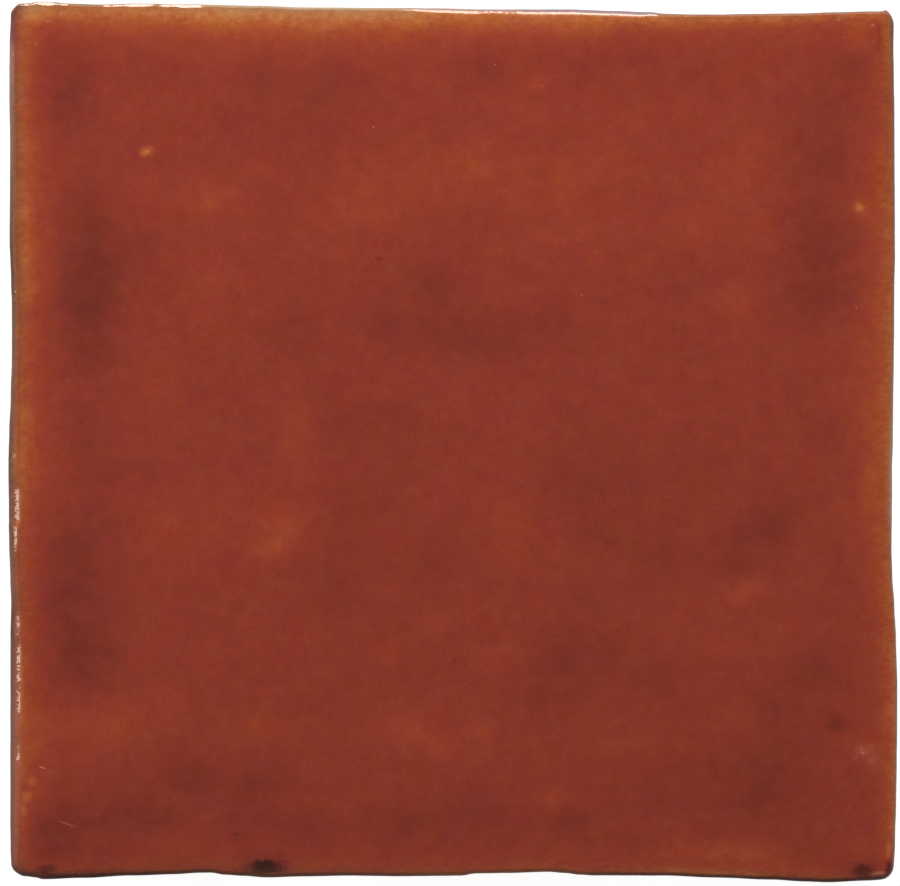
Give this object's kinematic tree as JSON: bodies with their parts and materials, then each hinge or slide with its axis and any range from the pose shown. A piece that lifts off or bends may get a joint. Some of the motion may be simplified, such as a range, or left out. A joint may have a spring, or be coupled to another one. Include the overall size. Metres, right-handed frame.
{
  "type": "zellige tile",
  "caption": "Square hand-cut zellige tile: straying edges, rolled arrises, sides leaning in to a flat clay back, and a glossy amber-red glaze that pools dark and thins at the edge.",
  "frame": {"origin": "middle of the flat clay back that the tile is bedded on", "axes": "+Z out of the glazed face, +X to the right and +Y to the top as the face is seen from in front"},
  "size_m": [0.1005, 0.0996, 0.011],
  "materials": {
    "glaze": "gloss"
  },
  "bodies": {
    "root": {"tile": "glaze"}
  },
  "joints": []
}
